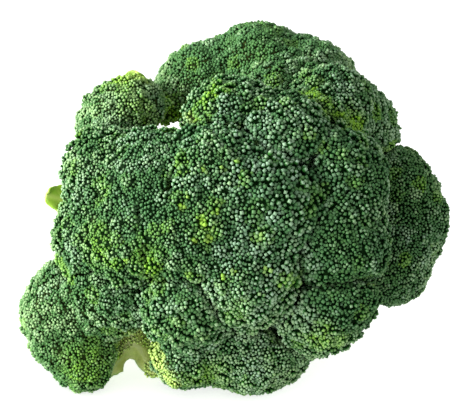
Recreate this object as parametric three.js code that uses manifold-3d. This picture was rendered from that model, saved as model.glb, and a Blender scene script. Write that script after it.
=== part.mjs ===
// A head of broccoli as cut: a stalk whose limbs fork towards the lobes of its florets, and two small leaves.
// Millimetres, +Z up. The head lies on its lowest florets, a trimmed side shoot and the rim of its cut end,
// with its crown to the front (-Y).
//
// Everything is placed in the growth frame first: its origin is the crotch, where the trunk parts into limbs,
// +Z runs up the trunk to the middle of the crown, +X is to the right and +Y is up the face of the crown.
// One group then leans that frame over until the head lies down.
import * as THREE from "three";
import { ConvexGeometry } from "three/addons/geometries/ConvexGeometry.js";
import { ConvexHull } from "three/addons/math/ConvexHull.js";
import { mergeVertices } from "three/addons/utils/BufferGeometryUtils.js";
import Module from "manifold-3d";

// ---- Driving dimensions ----
const CROWN_HALF_WIDTH = 75;
const CROWN_HALF_HEIGHT = 64.5;
const CROWN_DEPTH = 58; // from the crotch to the middle of the crown
const LEAN = THREE.MathUtils.degToRad(51); // of the trunk, from upright
const CROTCH_HEIGHT = 46.5; // above the surface that the head lies on

const TRUNK_RADIUS = 17;
const TRUNK_RIBS = 7;
const RIB_HEIGHT = 0.7;
const CUT_RIM_SINK = 0.5; // of the cut's lowest edge under the surface, trimmed off as a flat spot
const LIMB_START = -14; // where a limb with no spread would leave the trunk's axis
const LIMB_DROP = 0.12; // how much lower a limb starts for each millimetre that it spreads
const LIMB_RADIUS = 7;
const FORK_RADIUS = 5.4;
const STEM_RADIUS = 4.6;

const BUD_SPACING = 6.2; // larger than life: each bump stands for a tuft of buds
const BUD_RISE = 1.0;
const BUD_SINK = 0.9;
const SWELLING = 0.9; // slow knobs of the crown's surface
const SOFTNESS = 4.2; // how widely lobes of one floret blend into each other
const SEAM_DEPTH = 2.5; // how far a lobe of another floret stands back from that blend
const UNDERSIDE = 0.6; // of a lobe's radius, from its centre back to its flat underside
const FLARE = 0.7; // of a lobe's radius, the stem's radius where it meets that underside
const GAP = 0.35; // between two nodes
const ROOM_SCALE = 1.05; // of a lobe, for the room that no stem enters
const MELD = 1.6; // how far lobes of one floret pass the plane between them
const WALL_NEARNESS = 0.94; // of a lobe's reach: a wall nearer than this counts as flat ground without buds
const WALL_THINNING = 5; // one point in so many is kept on such flat ground
const CARRY_REACH = 11.2; // a lobe this close to a larger one of its floret has no stem of its own

const LEAF_THICKNESS = 0.8;
const LEAF_STALK_WIDTH = 3.2;
const LEAF_WAVE = 1.1;

const GREEN = { dark: 0x2f5a31, stem: 0x9fb35a, leaf: 0x8db33a };

// ---- Lobes ----
// A lobe's dome has its centre on a shell inside the crown's envelope, or at the depth given. It faces away
// from ROOT, a point of the trunk, unless it is given a way to face.
const ROOT = new THREE.Vector3(0, 0, -25);
function lobe(x, y, radius, depth, facing) {
  const across = x / (CROWN_HALF_WIDTH - radius);
  const up = y / (CROWN_HALF_HEIGHT - radius);
  const shell = (CROWN_DEPTH - radius) * Math.sqrt(Math.max(0, 1 - across * across - up * up));
  const centre = new THREE.Vector3(x, y, depth ?? shell);
  const axis = facing ? new THREE.Vector3(...facing) : centre.clone().sub(ROOT);
  return { centre, radius, axis: axis.normalize() };
}

// A floret's limb ends in its fork, where the stems of its lobes begin.
const FLORETS = [
  {
    name: "floret_top",
    fork: [6, 36, -8],
    lobes: [
      lobe(-13.8, 53.8, 12.5, -2),
      lobe(8, 59.3, 15, -2),
      lobe(29, 53, 14.5, -1),
      lobe(14, 43, 12, 12),
      lobe(-23.2, 44.6, 7, -2, [-2, -1, 2]),
    ],
  },
  { name: "floret_upper", fork: [4, 18, 12], lobes: [lobe(-3.3, 30, 13.5), lobe(16, 20.5, 17)] },
  {
    name: "floret_upper_right",
    fork: [28, 24, -2],
    lobes: [lobe(33, 36, 16, 18), lobe(44.8, 34.8, 13.8, 3)],
  },
  {
    name: "floret_upper_left",
    fork: [-34, 16, -8],
    lobes: [lobe(-42.3, 32.4, 13.4, 10), lobe(-37.3, 37.2, 12, 10)],
  },
  {
    name: "floret_left",
    fork: [-24, 2, 10],
    lobes: [lobe(-28, 8, 16), lobe(-45.5, 12.5, 14.5), lobe(-48.5, -10.3, 14.4), lobe(-33, -13, 15.5)],
  },
  {
    name: "floret_centre",
    fork: [-2, -6, 14],
    lobes: [lobe(-7, 7.5, 18), lobe(11, -2, 19), lobe(-17, -12, 18), lobe(3, -25, 18)],
  },
  { name: "floret_centre_right", fork: [20, -2, 10], lobes: [lobe(34.5, 8.5, 18), lobe(34.5, -14, 18)] },
  {
    name: "floret_right",
    fork: [38, -1, -10],
    lobes: [
      lobe(58.4, 11, 14.3, -2),
      lobe(62.5, -2, 13.5, -2),
      lobe(55, -17.2, 13.8, -2),
      lobe(49, 23, 10, -10),
    ],
  },
  {
    name: "floret_lower_right",
    fork: [20, -20, 4],
    lobes: [lobe(29.5, -35.2, 15.5), lobe(36.2, -28, 12.6), lobe(17, -36, 10, 13)],
  },
  {
    name: "floret_bottom",
    fork: [-1, -28, 2],
    lobes: [
      lobe(-15.5, -33, 16),
      lobe(4, -47.5, 15, 8),
      lobe(13.8, -47, 12, 8),
      lobe(-18, -49, 12.5, 10, [3, -2, 2]),
    ],
  },
  {
    name: "floret_lower_left",
    fork: [-37.6, -36.6, -3],
    lobes: [
      lobe(-60.6, -33.3, 14.8, 5),
      lobe(-59.3, -42.6, 11.7, 3),
      lobe(-52, -52.3, 10.2, 4, [-6, 1, 5]),
      lobe(-50, -41.5, 7.5, -3),
      lobe(-42, -28.5, 15),
      lobe(-53, -22, 10, 8),
    ],
  },
];
// A trimmed side shoot of the lower left limb, that leans down to the surface.
const SHOOT = [[-37.6, -36.6, -3], [-35.6, -44.4, -5], [-27, -56, -4]];
const SHOOT_RADIUS = 5.6;
const SHOOT_TIP_RADIUS = 3.8;
// Where leaf stalks were trimmed off the trunk: the angle round it, in radians, and the height on it.
const STUBS = [
  { angle: 0.5, height: -26 },
  { angle: 2.75, height: -34 },
  { angle: 1.6, height: -18 },
  { angle: 4, height: -20 },
];

const LEAVES = [
  { name: "leaf_left", width: 11, path: [[-25.1, 3, 0], [-44, 2.5, -4], [-58, 6, 1], [-68, 7.5, 9]] },
  {
    name: "leaf_upper_left",
    width: 12,
    path: [[-31.5, 20, -13], [-35, 34, -16], [-37, 46, -10], [-37, 55.3, 2]],
  },
];

// ---- Solids ----
const wasm = await Module();
wasm.setup();

/** A seeded generator of numbers from 0 to 1. */
function seededRandom(seed) {
  let state = seed;
  return () => {
    state = (state + 0x6d2b79f5) | 0;
    let mixed = Math.imul(state ^ (state >>> 15), 1 | state);
    mixed = (mixed + Math.imul(mixed ^ (mixed >>> 7), 61 | mixed)) ^ mixed;
    return ((mixed ^ (mixed >>> 14)) >>> 0) / 4294967296;
  };
}

/** A closed geometry as a manifold-3d solid. */
function toSolid(geometry) {
  const bare = new THREE.BufferGeometry().setAttribute("position", geometry.getAttribute("position"));
  if (geometry.index) bare.setIndex(geometry.index);
  const merged = mergeVertices(bare, 1e-4);
  return new wasm.Manifold(
    new wasm.Mesh({
      numProp: 3,
      vertProperties: merged.attributes.position.array,
      triVerts: new Uint32Array(merged.index.array),
    }),
  );
}

/** A manifold-3d solid as a named mesh of one colour. */
function toMesh(solid, name, color, roughness) {
  const { numProp, numVert, vertProperties, triVerts } = solid.getMesh();
  const positions = new Float32Array(numVert * 3);
  for (let i = 0; i < numVert; i++) {
    positions.set(vertProperties.subarray(i * numProp, i * numProp + 3), i * 3);
  }
  const geometry = new THREE.BufferGeometry()
    .setAttribute("position", new THREE.BufferAttribute(positions, 3))
    .setIndex(new THREE.BufferAttribute(triVerts, 1));
  geometry.computeVertexNormals();
  const mesh = new THREE.Mesh(geometry, new THREE.MeshStandardMaterial({ color, roughness, metalness: 0 }));
  mesh.name = name;
  return mesh;
}

/** A solid without the hollows that joining its pieces closed in. */
function withoutHollows(solid) {
  return wasm.Manifold.union(solid.decompose().filter((body) => body.volume() > 0));
}

// The way up from the surface that the head lies on, as a direction of the growth frame.
const SURFACE_UP = new THREE.Vector3(0, Math.sin(LEAN), Math.cos(LEAN));

/** Trims a solid flat where it would pass under the surface that the head lies on. */
function layFlat(solid) {
  return solid.trimByPlane(SURFACE_UP.toArray(), -CROTCH_HEIGHT);
}

// ---- Florets ----
const allLobes = FLORETS.flatMap((floret) =>
  floret.lobes.map((member) => Object.assign(member, { floret: floret.name, fork: floret.fork })),
);
for (const member of allLobes) {
  const touches = (other) => other.centre.distanceTo(member.centre) < member.radius + other.radius + 4;
  member.neighbours = allLobes.filter((other) => other !== member && touches(other));
}

/** The planes that hold a lobe off its neighbours and end it at its underside. */
function wallsOf(member) {
  const underside = { normal: member.axis.clone().negate(), offset: UNDERSIDE * member.radius };
  const between = member.neighbours.map((other) => {
    const normal = other.centre.clone().sub(member.centre);
    const distance = normal.length();
    const halfway = (distance ** 2 + member.radius ** 2 - other.radius ** 2) / (2 * distance);
    const offset = halfway + (other.floret === member.floret ? MELD : -GAP / 2);
    return { normal: normal.divideScalar(distance), offset };
  });
  return [underside, ...between];
}

/** How far a point lies outside the crown's surface: lobes of one floret blend and others stand back. */
function outside(point, member) {
  let sum = 0;
  for (const other of [member, ...member.neighbours]) {
    const back = other.floret === member.floret ? 0 : SEAM_DEPTH;
    sum += Math.exp((other.radius - back - point.distanceTo(other.centre)) / SOFTNESS);
  }
  const knobs = Math.sin(point.x / 4.6) * Math.sin(point.y / 4.1 + 1) * Math.sin(point.z / 4.9 + 2);
  return -SOFTNESS * Math.log(sum) - SWELLING * knobs;
}

/** The distance from a lobe's centre to the crown's surface in a direction. */
function reachOf(direction, member) {
  let reach = member.radius;
  for (let step = 0; step < 8; step++) {
    reach -= outside(direction.clone().multiplyScalar(reach).add(member.centre), member);
  }
  return THREE.MathUtils.clamp(reach, 0.8 * member.radius, 1.6 * member.radius);
}

/** Unit directions spread evenly by a golden-angle spiral about a random pole. */
function spreadDirections(count, random) {
  const turn = new THREE.Quaternion().setFromEuler(new THREE.Euler(random() * 6, random() * 6, random() * 6));
  const golden = Math.PI * (3 - Math.sqrt(5));
  return Array.from({ length: count }, (_, i) => {
    const height = 1 - (2 * i + 1) / count;
    const ring = Math.sqrt(1 - height * height);
    const direction = new THREE.Vector3(Math.cos(i * golden) * ring, Math.sin(i * golden) * ring, height);
    return direction.applyQuaternion(turn);
  });
}

/** A lobe: a dome of buds, each a six-sided bump, flat where it meets its neighbours and at its underside. */
function lobeGeometry(member) {
  const random = seededRandom(7 * allLobes.indexOf(member) + 11);
  const walls = wallsOf(member);
  const distanceTo = (wall, d) => (d.dot(wall.normal) > 1e-6 ? wall.offset / d.dot(wall.normal) : Infinity);
  const wallAt = (d) => Math.min(...walls.map((wall) => distanceTo(wall, d)));
  const skin = (d, relief) =>
    d.clone().multiplyScalar(Math.min(reachOf(d, member) + relief, wallAt(d))).add(member.centre);

  const count = Math.round((4 * Math.PI * member.radius ** 2) / ((Math.sqrt(3) / 2) * BUD_SPACING ** 2));
  const free = (d) => wallAt(d) > WALL_NEARNESS * reachOf(d, member);
  const directions = spreadDirections(count, random).filter((d, i) => free(d) || i % WALL_THINNING === 0);
  const hull = new ConvexHull().setFromPoints(directions);

  // Round each bud run the middles of the hull's faces, which are the hollows between three buds.
  const hollows = new Map();
  for (const face of hull.faces) {
    const middle = new THREE.Vector3();
    for (let k = 0; k < 3; k++) middle.add(face.getEdge(k).head().point);
    hollows.set(face, skin(middle.normalize(), -BUD_SINK));
  }
  const triangles = [];
  for (const face of hull.faces) {
    for (let k = 0; k < 3; k++) {
      const edge = face.getEdge(k);
      triangles.push(skin(edge.tail().point, BUD_RISE), hollows.get(edge.twin.face), hollows.get(face));
    }
  }
  return new THREE.BufferGeometry().setFromPoints(triangles);
}

/** The room round a lobe that no stem may enter: its hull, a little larger. */
function roomSolid(geometry, { centre }) {
  const position = geometry.getAttribute("position");
  const pointAt = (_, i) => new THREE.Vector3().fromBufferAttribute(position, i);
  const points = Array.from({ length: position.count }, pointAt);
  const hull = new ConvexGeometry(points).translate(-centre.x, -centre.y, -centre.z);
  return toSolid(hull.scale(ROOM_SCALE, ROOM_SCALE, ROOM_SCALE).translate(centre.x, centre.y, centre.z));
}

// ---- Stalk ----
/** A limb along a curve, its radius given over the way along and the angle round it. */
function limbSolid(curve, radiusAt, sides, steps) {
  const geometry = new THREE.CylinderGeometry(1, 1, 1, sides, steps);
  const { normals, binormals } = curve.computeFrenetFrames(steps, false);
  const position = geometry.getAttribute("position");
  for (let i = 0; i < position.count; i++) {
    const along = position.getY(i) + 0.5;
    const step = Math.round(along * steps);
    const [x, z] = [position.getX(i), position.getZ(i)];
    const radius = radiusAt(along, Math.atan2(z, x));
    const point = curve
      .getPointAt(along)
      .addScaledVector(normals[step], x * radius)
      .addScaledVector(binormals[step], -z * radius);
    position.setXYZ(i, point.x, point.y, point.z);
  }
  return toSolid(geometry);
}

/** The trunk, from its cut end up to the crotch, with its ribs. */
function trunkSolid() {
  const rimDrop = (CROTCH_HEIGHT + CUT_RIM_SINK - TRUNK_RADIUS * Math.sin(LEAN)) / Math.cos(LEAN);
  const curve = new THREE.CatmullRomCurve3([
    new THREE.Vector3(0, 0, -rimDrop),
    new THREE.Vector3(0, 0, -rimDrop * 0.6),
    new THREE.Vector3(0, 1, -rimDrop * 0.3),
    new THREE.Vector3(0, 0, 2),
  ]);
  const girth = (u) => TRUNK_RADIUS * (1 - 0.14 * Math.sin(Math.PI * Math.min(1, 1.1 * u)) - 0.25 * u ** 4);
  const fade = (u) => Math.sin(Math.PI * Math.min(1, 1.6 * u));
  const rib = (u, angle) => RIB_HEIGHT * fade(u) * Math.cos(TRUNK_RIBS * angle);
  return limbSolid(curve, (u, angle) => girth(u) + rib(u, angle), 28, 6);
}

/** Stubs of the trimmed leaf stalks, round the trunk. */
function stubSolids() {
  return STUBS.map(({ angle, height }) => {
    const out = new THREE.Vector3(Math.cos(angle), Math.sin(angle), 0);
    const curve = new THREE.QuadraticBezierCurve3(
      out.clone().multiplyScalar(9).setZ(height - 3),
      out.clone().multiplyScalar(15).setZ(height),
      out.clone().multiplyScalar(20).setZ(height + 6),
    );
    return limbSolid(curve, (u, around) => 5.2 - 1.2 * u + 0.8 * Math.cos(2 * around), 8, 2);
  });
}

/** One limb for each floret, from the trunk's axis out to the floret's fork. */
function limbSolids() {
  return FLORETS.map(({ fork }) => {
    const end = new THREE.Vector3(...fork);
    const spread = Math.hypot(end.x, end.y);
    const start = new THREE.Vector3(end.x * 0.12, end.y * 0.12, LIMB_START - LIMB_DROP * spread);
    const bend = new THREE.Vector3(end.x * 0.62, end.y * 0.62, (start.z + end.z) / 2 - 0.1 * spread);
    const curve = new THREE.QuadraticBezierCurve3(start, bend, end);
    return limbSolid(curve, (u) => THREE.MathUtils.lerp(LIMB_RADIUS, FORK_RADIUS, u), 8, 3);
  });
}

/** A lobe's own stem, from the fork to its underside, where it opens like a fan if its neighbours let it. */
function stemSolid(member) {
  const start = new THREE.Vector3(...member.fork);
  const drop = UNDERSIDE * member.radius * ROOM_SCALE + 0.05;
  const under = member.centre.clone().addScaledVector(member.axis, -drop);
  const bend = under.clone().addScaledVector(member.axis, -0.5 * under.distanceTo(start));
  const curve = new THREE.QuadraticBezierCurve3(start, bend, under);
  const wide = Math.min(FLARE * member.radius, ...wallsOf(member).map((wall) => 0.9 * wall.offset));
  const narrow = Math.min(STEM_RADIUS, 0.35 * member.radius, wide);
  const fan = (u) => narrow + (wide - narrow) * u ** 2.6;
  return limbSolid(curve, (u, angle) => fan(u) * (1 + 0.06 * u * Math.cos(4 * angle)), 8, 4);
}

/** Whether a lobe sits so close to a larger one of its floret that it needs no stem of its own. */
function ridesAlong(member) {
  const carries = (other) =>
    other.floret === member.floret &&
    other.radius > member.radius &&
    other.centre.distanceTo(member.centre) < CARRY_REACH;
  return member.neighbours.some(carries);
}

// ---- Leaves ----
/** A small leaf along a path: a narrow stalk, then a blade with a raised rib and waved, scalloped edges. */
function leafSolid({ path, width }) {
  const curve = new THREE.CatmullRomCurve3(path.map((point) => new THREE.Vector3(...point)));
  const LONG = 16;
  const ACROSS = 6;
  const sheet = (side) => {
    const points = [];
    for (let row = 0; row <= LONG; row++) {
      const along = row / LONG;
      const centre = curve.getPointAt(along);
      const tangent = curve.getTangentAt(along);
      const sideways = new THREE.Vector3(0, 0, 1).cross(tangent).normalize();
      const facing = new THREE.Vector3().crossVectors(tangent, sideways);
      const tip = Math.sqrt(1.06 - along ** 8);
      const blade = THREE.MathUtils.smoothstep(along, 0.3, 0.75) * tip;
      const scallop = 1 + 0.1 * Math.cos(34 * along) * blade;
      const halfWidth = LEAF_STALK_WIDTH / 2 + ((width - LEAF_STALK_WIDTH) / 2) * blade * scallop;
      for (let column = 0; column <= ACROSS; column++) {
        const across = (2 * column) / ACROSS - 1;
        const wave = LEAF_WAVE * across ** 2 * blade * Math.sin(22 * along + 2 * across);
        const rib = 0.5 * (1 - Math.abs(across)) * (1 - 0.5 * blade);
        const height = wave + side * (LEAF_THICKNESS / 2 + rib);
        const edge = centre.clone().addScaledVector(sideways, across * halfWidth);
        points.push(edge.addScaledVector(facing, height));
      }
    }
    return points;
  };
  const [top, under] = [sheet(1), sheet(-1)];
  const triangles = [];
  const quad = (a, b, c, d) => triangles.push(a, b, c, a, c, d);
  const at = (row, column) => row * (ACROSS + 1) + column;
  for (let row = 0; row < LONG; row++) {
    for (let column = 0; column < ACROSS; column++) {
      const [a, b] = [at(row, column), at(row, column + 1)];
      const [c, d] = [at(row + 1, column + 1), at(row + 1, column)];
      triangles.push(top[a], top[c], top[b], top[a], top[d], top[c]);
      triangles.push(under[a], under[b], under[c], under[a], under[c], under[d]);
    }
    quad(top[at(row, 0)], under[at(row, 0)], under[at(row + 1, 0)], top[at(row + 1, 0)]);
    const [a, b] = [at(row + 1, ACROSS), at(row, ACROSS)];
    quad(top[a], under[a], under[b], top[b]);
  }
  for (let column = 0; column < ACROSS; column++) {
    quad(top[at(0, column + 1)], under[at(0, column + 1)], under[at(0, column)], top[at(0, column)]);
    const [a, b] = [at(LONG, column), at(LONG, column + 1)];
    quad(top[a], under[a], under[b], top[b]);
  }
  return toSolid(new THREE.BufferGeometry().setFromPoints(triangles));
}

// ---- The head ----
const head = new THREE.Group();
head.rotation.x = LEAN;
head.position.z = CROTCH_HEIGHT;

const { union } = wasm.Manifold;
const rooms = [];
for (const floret of FLORETS) {
  const geometries = floret.lobes.map(lobeGeometry);
  rooms.push(...geometries.map((geometry, i) => roomSolid(geometry, floret.lobes[i])));
  const domes = withoutHollows(union(geometries.map(toSolid)));
  head.add(toMesh(layFlat(domes), floret.name, GREEN.dark, 0.6));
}
const shoot = new THREE.CatmullRomCurve3(SHOOT.map((point) => new THREE.Vector3(...point)));
const grown = union([
  trunkSolid(),
  limbSolid(shoot, (u) => THREE.MathUtils.lerp(SHOOT_RADIUS, SHOOT_TIP_RADIUS, u), 8, 3),
  ...stubSolids(),
  ...limbSolids(),
  ...allLobes.filter((member) => !ridesAlong(member)).map(stemSolid),
]);
const stalk = layFlat(grown.subtract(union(rooms)));
head.add(toMesh(stalk, "stalk", GREEN.stem, 0.5));
for (const leaf of LEAVES) head.add(toMesh(leafSolid(leaf), leaf.name, GREEN.leaf, 0.5));

// The part's origin is the middle of the ground that the head covers.
const broccoli = new THREE.Group();
broccoli.add(head);
broccoli.updateMatrixWorld(true);
const middle = new THREE.Box3().setFromObject(broccoli, true).getCenter(new THREE.Vector3());
head.position.x -= middle.x;
head.position.y -= middle.y;

export default broccoli;
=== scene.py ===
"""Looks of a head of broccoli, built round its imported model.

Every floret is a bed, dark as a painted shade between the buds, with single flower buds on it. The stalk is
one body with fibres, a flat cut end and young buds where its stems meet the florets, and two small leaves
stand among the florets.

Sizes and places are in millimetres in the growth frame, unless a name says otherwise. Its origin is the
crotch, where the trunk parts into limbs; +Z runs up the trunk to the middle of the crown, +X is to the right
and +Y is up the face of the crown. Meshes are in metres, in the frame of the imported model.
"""

from __future__ import annotations

import logging
import math
from dataclasses import dataclass, field
from enum import Enum
from typing import Callable, Iterable

import bmesh
import bpy
import numpy as np
from mathutils import Matrix, Quaternion, Vector, noise
from mathutils.bvhtree import BVHTree
from mathutils.kdtree import KDTree

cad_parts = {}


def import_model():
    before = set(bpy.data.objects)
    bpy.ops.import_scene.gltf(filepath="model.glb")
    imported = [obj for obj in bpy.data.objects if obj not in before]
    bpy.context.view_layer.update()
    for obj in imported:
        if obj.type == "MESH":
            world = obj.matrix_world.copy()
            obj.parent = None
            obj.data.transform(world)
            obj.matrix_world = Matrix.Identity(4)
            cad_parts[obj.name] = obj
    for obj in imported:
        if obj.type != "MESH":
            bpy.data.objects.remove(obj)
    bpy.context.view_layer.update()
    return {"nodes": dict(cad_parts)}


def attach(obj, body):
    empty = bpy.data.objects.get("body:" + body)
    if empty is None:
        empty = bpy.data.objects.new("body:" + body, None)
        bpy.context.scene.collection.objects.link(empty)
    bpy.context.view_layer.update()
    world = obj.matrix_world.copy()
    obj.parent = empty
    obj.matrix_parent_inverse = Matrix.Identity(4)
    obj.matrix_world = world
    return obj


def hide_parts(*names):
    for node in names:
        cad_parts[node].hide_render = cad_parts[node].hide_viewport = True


log = logging.getLogger("broccoli")

MM = 0.001
NOISE_SEED = 99  # of how the edges of patches wander
LEAN = math.radians(51)  # of the trunk, from upright
CROTCH_MM = Vector((-0.0271, 3.0503, 46.5))  # where the growth frame's origin stands on the surface
TO_WORLD = Matrix.Scale(MM, 4) @ Matrix.Translation(CROTCH_MM) @ Matrix.Rotation(LEAN, 4, "X")
TO_GROWTH = TO_WORLD.inverted()
ROOT = TO_WORLD @ Vector((0, 0, -25))  # the point of the trunk that every floret faces away from
BASE_GAP = 0.02 * MM  # between the surface and what rests on it
JOIN_GAP = 0.004 * MM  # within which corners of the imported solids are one

Colour = tuple[float, float, float]
Place = tuple[float, float, float]
Span = tuple[float, float]
Nodes = dict[str, bpy.types.Object]
Materials = list[bpy.types.Material]
Draws = np.random.Generator
SizeRule = Callable[[Vector, Vector], float]  # from a point and its normal
PlaceRule = Callable[[Vector, Vector], bool]  # from a point and its normal


class Slot(Enum):
    """The material slots."""

    BUDS = "buds"
    STALK = "stalk"
    LEAF = "leaf"


def clamped(value: float) -> float:
    """A number, kept from 0 to 1."""
    return min(1.0, max(0.0, value))


def within(span: Span, rng: Draws) -> float:
    """A random number between the ends of a span."""
    return float(rng.uniform(*span))


def srgb(red: int, green: int, blue: int) -> Colour:
    """A colour of the screen, 0 to 255 each, as linear light.

    Args:
        red: The red share.
        green: The green share.
        blue: The blue share.

    Returns:
        The same colour in linear values.
    """

    def linear(value: int) -> float:
        """One share in linear light."""
        part = value / 255
        return part / 12.92 if part <= 0.04045 else ((part + 0.055) / 1.055) ** 2.4

    return linear(red), linear(green), linear(blue)


# ---------------------------------------------------------------- materials


@dataclass(frozen=True)
class Wire:
    """A value of a material's nodes. A sum written with wires adds Math nodes."""

    recipe: "Recipe"
    socket: bpy.types.NodeSocket

    def _math(self, operation: str, other: "Wire | float") -> "Wire":
        """The result of one Math node."""
        made = self.recipe.node("ShaderNodeMath", {"operation": operation}, {0: self, 1: other})
        return Wire(self.recipe, made.outputs[0])

    def __add__(self, other: "Wire | float") -> "Wire":
        """self + other."""
        return self._math("ADD", other)

    def __sub__(self, other: "Wire | float") -> "Wire":
        """self - other."""
        return self._math("SUBTRACT", other)

    def __mul__(self, other: "Wire | float") -> "Wire":
        """self * other."""
        return self._math("MULTIPLY", other)

    def over(self, least: float, more: float) -> "Wire":
        """A least number, with this share of another one on top of it."""
        return self * more + least


class Recipe:
    """The nodes of one material, ending in a Principled shader."""

    def __init__(self, name: str) -> None:
        """Starts an empty material.

        Args:
            name: The material's name.
        """
        self.material = bpy.data.materials.new(name)
        self.material.use_nodes = True
        self.tree = self.material.node_tree
        self.tree.nodes.clear()
        self.shader = self.node("ShaderNodeBsdfPrincipled")
        output = self.node("ShaderNodeOutputMaterial")
        self.tree.links.new(self.shader.outputs[0], output.inputs[0])

    def node(
        self,
        kind: str,
        settings: dict[str, object] | None = None,
        sockets: dict[int | str, object] | None = None,
    ) -> bpy.types.Node:
        """One node of any kind.

        Args:
            kind: The node's type.
            settings: Its own settings, set before its sockets.
            sockets: The value, socket or wire of each input, by index or name.

        Returns:
            The new node.
        """
        made = self.tree.nodes.new(kind)
        for key, value in (settings or {}).items():
            setattr(made, key, value)
        for key, value in (sockets or {}).items():
            self.feed(made.inputs[key], value)
        return made

    def feed(self, entry: bpy.types.NodeSocket, value: object) -> None:
        """Sets or links one input.

        Args:
            entry: The input socket.
            value: A number, a colour, a vector, a socket or a wire.
        """
        if isinstance(value, Wire):
            self.tree.links.new(value.socket, entry)
        elif isinstance(value, bpy.types.NodeSocket):
            self.tree.links.new(value, entry)
        elif entry.type == "RGBA" and len(value) == 3:
            entry.default_value = (*value, 1.0)
        else:
            entry.default_value = value

    def constant(self, **values: float | Colour) -> None:
        """Sets the named sockets of the shader, with _ for a space, that are the same all over."""
        for name, value in values.items():
            self.feed(self.shader.inputs[name.replace("_", " ")], value)

    def attribute(self, name: str) -> Wire:
        """A number that the mesh carries."""
        return Wire(self, self.node("ShaderNodeAttribute", {"attribute_name": name}).outputs["Fac"])

    def grain(
        self, size_mm: float, detail: float = 2.0, stretch: Place = (1, 1, 1), turn: Place = (0, 0, 0)
    ) -> Wire:
        """Noise from 0 to 1.

        Args:
            size_mm: The size of its spots.
            detail: How many finer layers it has.
            stretch: How dense the spots are along each axis.
            turn: The turn of those axes, in radians.

        Returns:
            The noise.
        """
        place = self.node("ShaderNodeTexCoord").outputs["Object"]
        turned = {"Vector": place, "Rotation": turn}
        spread = self.node("ShaderNodeMapping", {"vector_type": "TEXTURE"}, turned).outputs[0]
        scaled = self.node("ShaderNodeVectorMath", {"operation": "MULTIPLY"}, {0: spread, 1: stretch})
        density = 1 / (size_mm * MM)
        noisy = {"Vector": scaled.outputs[0], "Scale": density, "Detail": detail, "Roughness": 0.55}
        return Wire(self, self.node("ShaderNodeTexNoise", sockets=noisy).outputs["Fac"])

    def between(self, value: Wire, bounds: Span) -> Wire:
        """A value as 0 below one bound, 1 above the other and a soft rise between them.

        Args:
            value: The value.
            bounds: The lower and the upper bound.

        Returns:
            The share from 0 to 1.
        """
        made = self.node(
            "ShaderNodeMapRange",
            {"interpolation_type": "SMOOTHSTEP", "clamp": True},
            {"Value": value, "From Min": bounds[0], "From Max": bounds[1]},
        )
        return Wire(self, made.outputs[0])

    def blend(self, share: Wire | float, first: object, second: object) -> bpy.types.NodeSocket:
        """Two colours mixed, with the given share of the second."""
        return self.node("ShaderNodeMix", {"data_type": "RGBA"}, {0: share, 6: first, 7: second}).outputs[2]

    def finish(
        self, colour: object, roughness: Wire | float, height: Wire, depth_mm: float
    ) -> bpy.types.Material:
        """Feeds the shader.

        Args:
            colour: The base colour.
            roughness: The roughness.
            height: The relief, from 0 to 1.
            depth_mm: How deep the relief is.

        Returns:
            The finished material.
        """
        bump = self.node(
            "ShaderNodeBump", sockets={"Height": height, "Distance": depth_mm * MM, "Strength": 1.0}
        )
        self.feed(self.shader.inputs["Base Color"], colour)
        self.feed(self.shader.inputs["Roughness"], roughness)
        self.feed(self.shader.inputs["Normal"], bump.outputs[0])
        return self.material


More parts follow.
